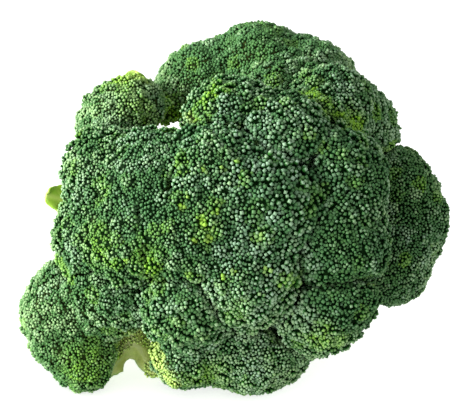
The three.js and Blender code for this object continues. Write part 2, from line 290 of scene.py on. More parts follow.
@dataclass(frozen=True)
class BudFinish:
    """Flower buds: dark at their foot, a painted shade of the crevices between them, green at their sides,
    and with a bluish bloom on top: their own waxy bloom, painted lighter than the sides as a painted
    highlight.

    Ripe ones are yellow-green, and pale ones, which the sun hasn't reached, are lighter still.
    """

    # painted shade: the dark foot stands for the shade deep in the crevices between buds
    foot: Colour = srgb(0, 30, 1)
    # painted light: the foot where the shade between buds is lifted, lighter than the painted shade
    lifted_foot: Colour = srgb(34, 82, 32)
    pale_foot: Colour = srgb(94, 134, 36)
    deep: Colour = srgb(5, 46, 11)
    side: Colour = srgb(36, 87, 32)
    # the crest: the buds' own waxy bloom, painted lighter than their sides as a painted highlight on top
    cool_top: Colour = srgb(124, 150, 127)
    warm_top: Colour = srgb(125, 154, 105)
    ripe_side: Colour = srgb(54, 112, 13)
    ripe_top: Colour = srgb(116, 160, 44)
    pale_side: Colour = srgb(112, 148, 46)
    pale_top: Colour = srgb(166, 188, 104)
    foot_rise: Span = (0.0, 0.28)  # of a bud's height
    crest_rise: Span = (0.34, 0.82)
    crest_spots: float = 0.3  # how unevenly the crest starts
    lifted_crest: float = 0.2  # how much lower it starts where painted light lifts the shade between buds, so more of each bud is lit
    least_bloom: float = 0.2  # on the darkest buds
    shine: float = 0.08
    rough: Span = (0.45, 0.2)  # the least, and what spots add
    relief_mm: float = 0.04

    def material(self) -> bpy.types.Material:
        """The material, which reads the attributes tip, tone, warm, ripe, pale and calm."""
        recipe = Recipe("bud skin")
        names = ("tip", "tone", "warm", "ripe", "pale", "calm")
        tip, tone, warm, ripe, pale, calm = (recipe.attribute(name) for name in names)
        # the flesh, lighter or darker at random and with painted light and shade
        flesh = recipe.blend(ripe, recipe.blend(tone, self.deep, self.side), self.ripe_side)
        flesh = recipe.blend(pale, flesh, self.pale_side)
        bloom = recipe.blend(warm, self.cool_top, self.warm_top)
        bloomed = tone * (1 - self.least_bloom) + self.least_bloom
        # the crest on top of each bud: the bloom's colour laid over the flesh as a painted highlight
        crest = recipe.blend(ripe, recipe.blend(bloomed, self.side, bloom), self.ripe_top)
        crest = recipe.blend(pale, crest, self.pale_top)
        height = tip + calm * self.lifted_crest + recipe.grain(0.5) * self.crest_spots - self.crest_spots / 2
        lit = recipe.blend(recipe.between(height, self.crest_rise), flesh, crest)
        # painted shade at each bud's foot, lighter where painted light lifts it and for pale buds
        foot = recipe.blend(pale, recipe.blend(calm, self.foot, self.lifted_foot), self.pale_foot)
        colour = recipe.blend(recipe.between(tip, self.foot_rise), foot, lit)
        recipe.constant(Specular_IOR_Level=self.shine)
        return recipe.finish(colour, recipe.grain(0.8).over(*self.rough), recipe.grain(0.25), self.relief_mm)


@dataclass(frozen=True)
class BedFinish:
    """The bed under the buds: nearly black green between them as a painted shade, pale green at its
    underside.
    """

    # painted shade: the near-black green of the gaps between buds, mottled a little lighter
    shade: Colour = srgb(3, 22, 2)
    shade_mottle: Colour = srgb(12, 40, 8)
    under: Colour = srgb(132, 148, 74)
    shine: float = 0.05
    rough: Span = (0.6, 0.2)  # the least, and what spots add
    relief_mm: float = 0.15

    def material(self) -> bpy.types.Material:
        """The material, which reads the attribute under."""
        recipe = Recipe("bud bed")
        dark = recipe.blend(recipe.grain(2.0), self.shade, self.shade_mottle)
        colour = recipe.blend(recipe.attribute("under"), dark, self.under)
        recipe.constant(Specular_IOR_Level=self.shine)
        return recipe.finish(colour, recipe.grain(1.5).over(*self.rough), recipe.grain(0.6), self.relief_mm)


@dataclass(frozen=True)
class StalkFinish:
    """The stalk's skin: pale green with fibres along it, yellower and then fresher green near the buds."""

    skin: Colour = srgb(128, 144, 88)
    fibre: Colour = srgb(144, 159, 104)
    old: Colour = srgb(111, 127, 71)
    khaki: Colour = srgb(146, 156, 76)
    fresh: Colour = srgb(86, 130, 33)
    fibre_rise: Span = (0.4, 0.7)
    old_rise: Span = (0.5, 0.75)
    khaki_share: float = 0.9
    rough: Span = (0.42, 0.15)  # the least, and what patches add
    fibre_depth: float = 0.7  # of the relief, the rest being pores
    relief_mm: float = 0.35

    def material(self) -> bpy.types.Material:
        """The material, which reads the attributes young and fresh."""
        recipe = Recipe("stalk skin")
        fibres = recipe.grain(1.4, 3.0, (1, 1, 0.12), (LEAN, 0, 0))
        mottle = recipe.grain(14.0, 3.0)
        skin = recipe.blend(recipe.between(fibres, self.fibre_rise), self.skin, self.fibre)
        aged = recipe.blend(recipe.between(mottle, self.old_rise), skin, self.old)
        young = recipe.blend(recipe.attribute("young") * self.khaki_share, aged, self.khaki)
        colour = recipe.blend(recipe.attribute("fresh"), young, self.fresh)
        relief = fibres * self.fibre_depth + recipe.grain(0.7) * (1 - self.fibre_depth)
        return recipe.finish(colour, mottle.over(*self.rough), relief, self.relief_mm)


@dataclass(frozen=True)
class CutFinish:
    """A cut end: pale watery flesh with dry stains, and a darker ring of fibres near the skin."""

    flesh: Colour = srgb(178, 184, 132)
    ring: Colour = srgb(124, 138, 70)
    dry: Colour = srgb(160, 152, 104)
    stain_rise: Span = (0.45, 0.75)
    stain_share: float = 0.7
    rough: Span = (0.3, 0.3)  # the least, and what stains add
    relief_mm: float = 0.25

    def material(self) -> bpy.types.Material:
        """The material, which reads the attribute ring."""
        recipe = Recipe("cut flesh")
        stain = recipe.between(recipe.grain(6.0, 4.0), self.stain_rise)
        flesh = recipe.blend(stain * self.stain_share, self.flesh, self.dry)
        colour = recipe.blend(recipe.attribute("ring"), flesh, self.ring)
        return recipe.finish(colour, stain.over(*self.rough), recipe.grain(0.9, 3.0), self.relief_mm)


@dataclass(frozen=True)
class LeafFinish:
    """A small leaf: bright yellow-green between pale veins."""

    blade: Colour = srgb(142, 178, 56)
    shade: Colour = srgb(122, 162, 44)
    vein: Colour = srgb(166, 188, 92)
    shade_rise: Span = (0.35, 0.7)
    rough: Span = (0.45, 0.1)  # the least, and what shaded spots add
    relief_mm: float = 0.12

    def material(self) -> bpy.types.Material:
        """The material, which reads the attribute vein."""
        recipe = Recipe("leaf skin")
        mottle = recipe.between(recipe.grain(4.0, 3.0), self.shade_rise)
        blade = recipe.blend(mottle, self.blade, self.shade)
        colour = recipe.blend(recipe.attribute("vein"), blade, self.vein)
        return recipe.finish(colour, mottle.over(*self.rough), recipe.grain(0.8), self.relief_mm)


# ---------------------------------------------------------------- surfaces


def mesh_of(form: bmesh.types.BMesh, name: str, lowest: float = -math.inf) -> bpy.types.Mesh:
    """Turns a form into a mesh.

    Args:
        form: The form, which is freed.
        name: The mesh's name.
        lowest: The height in metres that no corner stays under.

    Returns:
        The new mesh.
    """
    for vert in form.verts:
        vert.co.z = max(vert.co.z, lowest)
    mesh = bpy.data.meshes.new(name)
    form.to_mesh(mesh)
    form.free()
    return mesh


def added(name: str, data: bpy.types.ID) -> bpy.types.Object:
    """Adds an object to the scene.

    Args:
        name: Its name.
        data: The mesh, the light or the camera that it shows.

    Returns:
        The object.
    """
    item = bpy.data.objects.new(name, data)
    bpy.context.scene.collection.objects.link(item)
    return item


def dressed(mesh: bpy.types.Mesh, materials: Materials, buds: int) -> bpy.types.Object:
    """Makes a piece of a mesh and reports it.

    Args:
        mesh: The mesh, whose name the piece gets.
        materials: Its materials.
        buds: How many buds it has.

    Returns:
        The piece.
    """
    for material in materials:
        mesh.materials.append(material)
    triangles = sum(len(face.vertices) - 2 for face in mesh.polygons)
    log.info("%s: %d buds, %d triangles", mesh.name, buds, triangles)
    return added(mesh.name, mesh)


def soften(form: bmesh.types.BMesh, slot: int = 0) -> None:
    """Gives every face of a form soft shading and one of the mesh's materials."""
    for face in form.faces:
        face.smooth, face.material_index = True, slot


def rows(items: bpy.types.bpy_prop_collection, name: str, kind: type = np.float32) -> np.ndarray:
    """Three numbers of each item of a mesh.

    Args:
        items: The items.
        name: The numbers' name.
        kind: Their type.

    Returns:
        One row for each item.
    """
    numbers = np.empty(len(items) * 3, kind)
    items.foreach_get(name, numbers)
    return numbers.reshape(-1, 3)


def write(mesh: bpy.types.Mesh, name: str, values: np.ndarray, first: int = 0) -> None:
    """Gives a mesh one number at each vertex.

    Args:
        mesh: The mesh.
        name: The attribute's name.
        values: The numbers.
        first: The vertex that the first one is for. All others get 0.
    """
    numbers = np.zeros(len(mesh.vertices), np.float32)
    numbers[first : first + len(values)] = values
    mesh.attributes.new(name, "FLOAT", "POINT").data.foreach_set("value", numbers)


def joined_tree(nodes: Iterable[bpy.types.Object]) -> BVHTree:
    """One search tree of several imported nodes.

    Args:
        nodes: The nodes' objects.

    Returns:
        The tree.
    """
    form = bmesh.new()
    for node in nodes:
        form.from_mesh(node.data)
    tree = BVHTree.FromBMesh(form)
    form.free()
    return tree


def point_tree(points: Iterable[Vector]) -> KDTree:
    """A search tree of points.

    Args:
        points: The points.

    Returns:
        The tree.
    """
    listed = list(points)
    tree = KDTree(len(listed))
    for index, point in enumerate(listed):
        tree.insert(point, index)
    tree.balance()
    return tree


@dataclass
class Site:
    """A place on a surface where something grows."""

    point: Vector
    normal: Vector
    radius: float

    def outward(self) -> Vector:
        """The way from the root of all florets."""
        return (self.point - ROOT).normalized()


@dataclass
class Ground:
    """A surface that can be planted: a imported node's form with an even skin of small faces."""

    node: bpy.types.Object
    voxel_mm: float
    smoothing: int  # rounds
    softness: float = 0.5  # of one round
    mesh: bpy.types.Mesh = field(init=False)
    tree: BVHTree = field(init=False)
    corners: np.ndarray = field(init=False)
    triangles: np.ndarray = field(init=False)
    soft: np.ndarray = field(init=False)

    def __post_init__(self) -> None:
        """Grows the skin, and reads its corners, triangles and soft normals."""
        self.mesh = self._grown()
        self.mesh.calc_loop_triangles()
        self.corners = rows(self.mesh.vertices, "co", np.float64)
        self.triangles = rows(self.mesh.loop_triangles, "vertices", np.int32)
        self.soft = rows(self.mesh.vertex_normals, "vector")[self.triangles].mean(1)
        self.soft /= np.linalg.norm(self.soft, axis=1, keepdims=True) + 1e-12
        self.tree = BVHTree.FromPolygons(self.corners.tolist(), self.triangles.tolist())

    def _grown(self) -> bpy.types.Mesh:
        """The node's form with its new skin."""
        form = bmesh.new()
        form.from_mesh(self.node.data)
        bmesh.ops.remove_doubles(form, verts=form.verts, dist=JOIN_GAP)
        holder = added("holder", mesh_of(form, self.node.name + "_form"))
        remesh = holder.modifiers.new("even skin", "REMESH")
        remesh.mode = "VOXEL"
        remesh.voxel_size = self.voxel_mm * MM
        smooth = holder.modifiers.new("smooth", "SMOOTH")
        smooth.factor = self.softness
        smooth.iterations = self.smoothing
        graph = bpy.context.evaluated_depsgraph_get()
        grown = bpy.data.meshes.new_from_object(holder.evaluated_get(graph))
        bpy.data.objects.remove(holder)
        return grown

    def candidates(self, per_mm2: float, rng: Draws) -> tuple[np.ndarray, np.ndarray]:
        """Random points spread evenly over the surface.

        Args:
            per_mm2: How many there are on a square millimetre.
            rng: The seeded generator.

        Returns:
            The points and their soft normals.
        """
        a, b, c = (self.corners[self.triangles[:, k]] for k in range(3))
        areas = np.linalg.norm(np.cross(b - a, c - a), axis=1) / 2
        count = int(areas.sum() / MM**2 * per_mm2)
        picked = rng.choice(len(areas), count, p=areas / areas.sum())
        u, v = rng.random((2, count, 1))
        over = u + v > 1
        u, v = np.where(over, 1 - u, u), np.where(over, 1 - v, v)
        points = a[picked] + u * (b - a)[picked] + v * (c - a)[picked]
        return points, self.soft[picked]

    def nearest(self, point: Vector) -> tuple[Vector, Vector]:
        """The surface's nearest point, and its soft normal."""
        place, _, index, _ = self.tree.find_nearest(point)
        return place, Vector(self.soft[index])


@dataclass(frozen=True)
class Planting:
    """How densely a surface is planted."""

    per_mm2: float  # random candidates
    closeness: float = 0.8  # of two sites' spacing, how near they may first be
    rounds: int = 4  # of pushing sites apart
    push_share: float = 0.3  # of the overlap, in each round

    def sites(self, ground: Ground, radius_at: SizeRule, rng: Draws) -> list[Site]:
        """Sites that fill a surface, no two on the same spot.

        Args:
            ground: The surface.
            radius_at: The radius of what grows at a point and normal, in metres, or 0 where nothing does.
            rng: The seeded generator.

        Returns:
            The sites.
        """
        points, normals = ground.candidates(self.per_mm2, rng)
        found = []
        for point, normal in zip(map(Vector, points), map(Vector, normals)):
            radius = radius_at(point, normal)
            if radius > 0:
                found.append(Site(point, normal, radius))
        tree = point_tree(site.point for site in found)
        free = [True] * len(found)
        kept = []
        for index, site in enumerate(found):
            if free[index]:
                kept.append(site)
                for _, other, _ in tree.find_range(site.point, 2 * site.radius * self.closeness):
                    free[other] = False
        for _ in range(self.rounds):
            self._push_apart(kept, ground)
        for site in kept:
            site.radius = radius_at(site.point, site.normal)
        return [site for site in kept if site.radius > 0]

    def _push_apart(self, sites: list[Site], ground: Ground) -> None:
        """Moves each site a little off those that crowd it, along the surface.

        Args:
            sites: The sites, which are moved.
            ground: The surface.
        """
        tree = point_tree(site.point for site in sites)
        moved = []
        for index, site in enumerate(sites):
            push = Vector()
            for point, other, gap in tree.find_range(site.point, 2 * site.radius):
                if other != index and gap > 0:
                    push += (site.point - point) * ((2 * site.radius - gap) / gap)
            moved.append(ground.nearest(site.point + push * self.push_share) if push.length > 0 else None)
        for site, place in zip(sites, moved):
            if place:
                site.point, site.normal = place


@dataclass
class BudCopies:
    """Many copies of one small closed bud of radius 1, whose foot runs down to a point, grown onto a form."""

    slot: int  # of the buds' material among those of the mesh
    first: int  # how many vertices the form has before them
    rings: tuple[Place, ...] = (  # each from a height: how much wider it is, and its new height
        (0.9, 1.0, 1.05),
        (0.0, 0.95, 0.66),
        (-0.9, 1.15, -0.22),
        (-2.0, 1.0, -1.5),
    )
    foot_height: float = -0.5  # below which a bud is all foot
    template: bpy.types.Mesh = field(init=False)
    made: int = 0

    def __post_init__(self) -> None:
        """Makes the bud, with its tip along +Z."""
        form = bmesh.new()
        bmesh.ops.create_uvsphere(form, u_segments=4, v_segments=3, radius=1)
        for vert in form.verts:
            wider, height = next(ring[1:] for ring in self.rings if vert.co.z > ring[0])
            vert.co = Vector((vert.co.x * wider, vert.co.y * wider, height))
        soften(form, self.slot)
        self.template = mesh_of(form, "bud_template")

    def plant(self, form: bmesh.types.BMesh, centre: Vector, axis: Vector, sizes: Place, rng: Draws) -> None:
        """Adds one copy.

        Args:
            form: The form that gets the copy.
            centre: Where the copy stands.
            axis: The way its tip points.
            sizes: Its width, depth and height.
            rng: The seeded generator, for its turn about its axis.
        """
        spin = Quaternion((0, 0, 1), float(rng.uniform(0, math.tau)))
        turn = (axis.to_track_quat("Z", "Y") @ spin).to_matrix().to_4x4()
        place = Matrix.Translation(centre) @ turn @ Matrix.Diagonal((*sizes, 1))
        self.template.transform(place)
        form.from_mesh(self.template)
        self.template.transform(place.inverted())
        self.made += 1

    def mark(self, mesh: bpy.types.Mesh, marks: dict[str, Iterable[float]]) -> None:
        """Writes how near each vertex is to its tip, and what each copy is like.

        Args:
            mesh: The mesh that the form became.
            marks: One number a copy for each name. It counts as a share from 0 to 1.
        """
        heights = np.array([vert.co.z for vert in self.template.vertices]) - self.foot_height
        write(mesh, "tip", np.tile(np.clip(heights / heights.max(), 0, 1), self.made), self.first)
        for name, values in marks.items():
            write(mesh, name, np.repeat(np.clip(values, 0, 1), len(heights)), self.first)


@dataclass(frozen=True)
class Patch:
    """A round place of the crown where something differs."""

    middle: Place
    radius: float
    share: float

    def gap(self, place: Vector) -> float:
        """How far a place is from the middle, in radii."""
        return (place - Vector(self.middle)).length / self.radius

    def at(self, place: Vector) -> float:
        """How much of the patch there is at a place: nothing outside its radius."""
        gap = self.gap(place)
        return self.share * max(0.0, 1 - gap * gap)

    def fading(self, place: Vector) -> float:
        """How much of the patch there is at a place when it has no edge."""
        gap = self.gap(place)
        return self.share * math.exp(-gap * gap)


def patches(*rows: tuple[float, ...]) -> tuple[Patch, ...]:
    """Patches from rows of their middle's x, y and z, their radius and their share."""
    return tuple(Patch(row[:3], row[3], row[4]) for row in rows)


def total(spots: Iterable[Patch], place: Vector) -> float:
    """How much of several patches there is at a place."""
    return sum(patch.at(place) for patch in spots)


@dataclass(frozen=True)
class Cloud:
    """Something that wanders slowly, up to an amount, through the growth frame."""

    amount: float
    density: float
    shift: Place = (0, 0, 0)

    def at(self, place: Vector) -> float:
        """How much of it there is at a place, below or above 0."""
        return self.amount * noise.noise(place * self.density + Vector(self.shift))


# ---------------------------------------------------------------- florets


@dataclass
class BudMap:
    """What the buds are like at each place of the crown, a point of the growth frame."""

    small_mm: float = 0.49  # radius of the smallest buds
    large_mm: float = 0.71  # radius of the largest, right of the middle of the crown
    large_places: tuple[Patch, ...] = patches(
        (18, 2, 52, 30, 1.0), (19, -31, 42, 18, 0.9), (-12, -45, 38, 17, 0.85)
    )
    size_cloud: Cloud = Cloud(0.04, 0.12)
    back_growth_mm: float = 0.26  # buds round the back are sparser
    back_depth: float = 40.0  # below the crotch, from where they don't grow further
    open_growth_mm: float = 0.22
    tuft_mm: float = 2.4
    tuft_cloud: Cloud = Cloud(0.9, 0.21, (1, 8, 5))
    shade_lift_width: float = 80.0  # of the painted light that lifts the shade between buds, from the lower right to the upper left
    shade_lift_height: float = 32.0  # from where down the shade between the buds is painted lighter
    shade_lift_depth: float = 30.0
    even_height: float = 34.0  # from where down the buds stand more evenly
    even_depth: float = 26.0
    rim_facing: float = -0.2  # from which round a floret's rim buds turn ripe
    rim_width: float = 0.4
    ripe_cloud: Cloud = Cloud(1.0, 0.19, (7, 3, 1))
    ripe_least: float = 0.2  # of the cloud
    ripe_strength: float = 0.7  # of the patches
    hidden_facing: float = -0.45  # from which under a floret they turn pale
    hidden_width: float = 0.3
    hidden_paleness: float = 0.7
    open_paleness: float = 0.25
    raggedness: float = 4.0  # how far the patches' edges wander
    ragged_density: float = 0.25
    warm_least: float = 0.1
    warm_rise: float = 0.6
    warm_reach: float = 70.0
    warm_cloud: Cloud = Cloud(0.5, 0.07, (2, 2, 9))
    tone_middle: float = 0.45
    # how much painted light lifts the flesh where the shade between buds is lifted
    tone_shade_lift: float = 0.3
    tone_clouds: tuple[Cloud, ...] = (
        Cloud(0.5, 0.16),
        Cloud(0.3, 0.05, (3, 9, 4)),
        Cloud(0.45, 0.4, (5, 5, 2)),
    )
    ripe_patches: tuple[Patch, ...] = patches(
        (-9, 33, 47, 6, 1.0), (-5, 38, 44, 5, 0.7), (-25, 38, 8, 9, 0.9), (-32, 36, 22, 6, 0.4),
        (-40, 47, 18, 8, 0.9), (-37, 40, 24, 6, 0.35), (27.6, 36, 34, 6, 1.2), (33, 32, 34, 5, 0.9),
        (40, 29, 32, 7, 1.3), (36, 14, 40, 6, 0.5), (-10.3, -13, 55.5, 7, 0.8), (-38, 50, 12, 9, 1.3),
        (-30, 32, 20, 5, 0.5), (-24, 24, 43, 4, 0.9), (-22, 37, 4, 6, 0.9), (-14, 27, 46, 5, 0.9),
        (8, -15, 53.6, 4, 0.7), (-46.5, -17, 42.5, 10, 0.75), (-44, 2, 43, 7, 0.6), (-30, -22, 47, 8, 0.6),
        (-27, -28, 42, 6, 0.8), (-36, -52, 14, 9, 0.6), (30, -47, 32, 8, 0.9), (1, -40, 45, 7, 0.5),
        (19, -31, 45, 6, 0.5), (49, -14, 26, 6, 0.6), (-52, -52, 12, 12, 0.6), (-12, -60, 16, 8, 0.8),
        (26, 37.5, 32.5, 5, 0.8), (-35.4, 34, 25, 6, 0.35), (43, 30.5, 29, 5, 0.5),
    )  # fmt: skip
    # patches of painted light and painted shade, lighter or darker with how the light falls over the crown
    light_and_shade_patches: tuple[Patch, ...] = patches(
        (-28, -14, 48, 26, -0.7), (10, -50, 35, 30, 0.7), (-40, 40, 20, 22, 0.5), (5, 58, 10, 30, -1.0),
        (-55, -48, 10, 22, -0.5), (-58, 5, 15, 25, 0.65), (44, -28, 33, 24, -0.7), (57, 8, 20, 28, -0.45),
        (-18, 54.6, 10, 14, -0.5), (-10, -11, 55.5, 8, 0.5), (32, -4, 44, 20, -0.3), (43, 30.5, 29, 7, 0.7),
    )  # fmt: skip
    open_patches: tuple[Patch, ...] = patches(  # of buds about to open, which are larger and yellow
        (-13.7, -16.8, 54, 1.7, 1.5), (-8.9, -16.4, 54.4, 1.7, 1.5), (-6.1, -8.1, 56.4, 1.5, 1.4),
        (-5.6, -4.4, 56.5, 1.1, 0.9), (-18, -5.8, 55, 1.5, 1.1), (-10.8, -10.8, 55.6, 2.4, 0.8),
        (-16.1, -2.4, 56.3, 1.5, 0.8), (-10.5, 6.6, 57.7, 1.3, 0.9), (-4.2, 6.7, 57.5, 1.3, 0.8),
        (0.2, 9.3, 57.5, 1.2, 0.8), (11, -26.8, 50.6, 1.6, 1.1), (8.6, -15.2, 53.4, 1.5, 0.7),
        (-0.6, -27, 51.7, 1.3, 1.0), (-3.8, -28.6, 50.3, 1.4, 1.1), (8.6, -34.7, 49.2, 1.3, 0.9),
        (-15.8, -27.5, 49.3, 1.1, 1.0), (-36.7, -22.6, 46.9, 1.4, 1.3), (-47.5, -8, 42, 1.6, 1.2),
        (-30, 43, 23, 1.3, 1.1), (-29, 36, 26, 1.4, 1.1),
    )  # fmt: skip
    pale_patches: tuple[Patch, ...] = patches(
        (-37, 49, 14, 8, 0.5), (-16, 27, 44, 4, 0.5), (-28.5, -46.5, 19, 6, 1.2), (-28, -53, 16, 6, 1.2),
        (-23.5, -60.5, 15, 6, 1.0), (-38, -43.5, 19, 5, 0.7), (-42, -44, 4, 5, 0.8), (-33, -41, 14, 5, 0.9),
    )  # fmt: skip

    def tuft_radius(self, place: Vector) -> float:
        """The radius of a tuft of buds."""
        return self.tuft_mm + self.tuft_cloud.at(place)

    def radius(self, place: Vector) -> float:
        """A bud's radius in millimetres.

        Args:
            place: A point of the growth frame.

        Returns:
            The radius.
        """
        near = max(patch.fading(place) for patch in self.large_places)
        back = self.back_growth_mm * clamped(-place.z / self.back_depth)
        grown = back + self.open_growth_mm * self.openness(place)
        return self.small_mm + (self.large_mm - self.small_mm) * near + self.size_cloud.at(place) + grown

    def openness(self, place: Vector) -> float:
        """How near a bud is to opening, from 0 to 1."""
        return min(1.0, total(self.open_patches, place))

    def calm(self, place: Vector) -> float:
        """How much painted light lifts the shade between buds, from 0 to 1: most at the crown's upper left
        rim.
        """
        aside = clamped(0.5 + (place.y - place.x) / self.shade_lift_width)
        return aside * clamped((self.shade_lift_height - place.z) / self.shade_lift_depth)

    def evenness(self, place: Vector) -> float:
        """How evenly high buds stand, from 0 to 1, which they do round the rim and the back of the crown."""
        return clamped((self.even_height - place.z) / self.even_depth)

    def warmth(self, place: Vector) -> float:
        """How yellowish a bud's green is, as a share that may pass 0 and 1."""
        aside = (place - Vector(self.large_places[0].middle)).length / self.warm_reach
        return self.warm_least + self.warm_rise * aside + self.warm_cloud.at(place)

    def ripeness(self, place: Vector, middle: Vector, facing: float) -> float:
        """How yellow a bud is.

        Args:
            place: Its point of the growth frame.
            middle: The middle of its tuft, in the growth frame.
            facing: How far it faces out of the crown, from -1 to 1.

        Returns:
            A share from 0 to 1.
        """
        rim = clamped((self.rim_facing - facing) / self.rim_width)
        cloud = max(0.0, self.ripe_cloud.at(middle) - self.ripe_least)
        named = self.ripe_strength * total(self.ripe_patches, self._ragged(place))
        return min(1.0, max(rim, cloud) + named + self.openness(place))

    def paleness(self, place: Vector, facing: float) -> float:
        """How pale a bud is for want of sun.

        Args:
            place: Its point of the growth frame.
            facing: How far it faces out of the crown, from -1 to 1.

        Returns:
            A share from 0 to 1.
        """
        hidden = clamped((self.hidden_facing - facing) / self.hidden_width)
        pale = total(self.pale_patches, self._ragged(place))
        return min(1.0, self.hidden_paleness * hidden + pale + self.open_paleness * self.openness(place))

    def tone(self, place: Vector) -> float:
        """How light a bud's green is, as a share that may pass 0 and 1: random, with painted light and shade.
        """
        wander = sum(cloud.at(place) for cloud in self.tone_clouds)
        return self.tone_middle + wander + self.tone_shade_lift * self.calm(place) + total(self.light_and_shade_patches, place)

    def _ragged(self, place: Vector) -> Vector:
        """Where a place counts as when patches have ragged edges."""
        return place + self.raggedness * noise.noise_vector(place * self.ragged_density)


@dataclass
class Tufts:
    """The tufts of one floret: each is a small dome of buds that lean out from its middle."""

    middles: list[Site]
    rng: Draws
    dome_mm: float = 2.1
    level_share: float = 0.45  # of the squared radius, where a dome is level with the bed
    rough: Cloud = Cloud(1.5, 0.42, (8, 1, 3))  # the relief that no tuft follows
    lean: float = 0.6
    lowest_mm: float = -1.0
    highest_mm: float = 0.85
    lift_spread_mm: float = 0.38
    tone_spread: float = 0.28
    tree: KDTree = field(init=False)
    lifts: np.ndarray = field(init=False)
    tones: np.ndarray = field(init=False)

    def __post_init__(self) -> None:
        """Draws how each tuft differs."""
        self.tree = point_tree(middle.point for middle in self.middles)
        self.lifts = self.rng.normal(0, self.lift_spread_mm, len(self.middles))
        self.tones = self.rng.normal(0, self.tone_spread, len(self.middles))

    def at(self, point: Vector) -> tuple[int, float, Vector]:
        """The tuft that a point belongs to.

        Args:
            point: A point, in metres.

        Returns:
            The tuft's index, the share of its radius that the point is off its middle, and the way off it.
        """
        middle, index, gap = self.tree.find(point)
        radius = self.middles[index].radius
        return index, min(1.0, gap / radius), (point - middle) / max(radius, gap)

    def rise_mm(self, index: int, share: float, place: Vector) -> float:
        """How far a bud stands out.

        Args:
            index: The tuft's index.
            share: The share of the tuft's radius that the bud is off its middle.
            place: The bud's point of the growth frame.

        Returns:
            The rise in millimetres.
        """
        dome = self.dome_mm * (self.level_share - share**2)
        rise = dome + float(self.lifts[index]) + self.rough.at(place)
        return max(self.lowest_mm, min(self.highest_mm, rise))


@dataclass
class Filling:
    """How a floret fills the valleys between it and its neighbours, and where it swells."""

    neighbours: BVHTree
    reach_mm: float = 4.2
    lift_mm: float = 2.1
    swells: tuple[Patch, ...] = patches(
        (-24, 23, 41, 8, 0.9), (-19, 21.5, 46, 5.5, 2.2), (-22, 37.5, 3, 9, 1.4), (-17, 31, 40, 7, 1.2),
        (-28.5, -44.5, 30, 7, 1.8), (-31, -5, 47, 6, 1.3), (-25.5, -1, 51.5, 5, 1.0),
        (-31.3, -14.5, 47, 6, 1.3), (-30.5, -24, 45, 6, 1.2), (-55, 30.5, 13, 7, 1.5),
        (30.5, -0.5, 43, 7, 1.6), (36, -26, 21, 7, 1.4), (43, -25, 22, 7, 1.2), (75, 1, 4, 8, 1.5),
    )  # fmt: skip

    def shift(self, point: Vector, normal: Vector) -> tuple[Vector, float]:
        """How far the surface moves at a point.

        Args:
            point: The point.
            normal: Its normal.

        Returns:
            The way it moves, and how much of a valley there is, from 0 to 1.
        """
        gap = self.neighbours.find_nearest(point, self.reach_mm * MM)[3]
        share = 0.0 if gap is None else 1 - gap / (self.reach_mm * MM)
        swell = total(self.swells, TO_GROWTH @ point)
        return ((point - ROOT).normalized() * share * self.lift_mm + normal * swell) * MM, share


@dataclass
class Crown:
    """What the buds of one floret grow by."""

    buds: BudMap
    tufts: Tufts
    filling: Filling
    copies: BudCopies
    rng: Draws


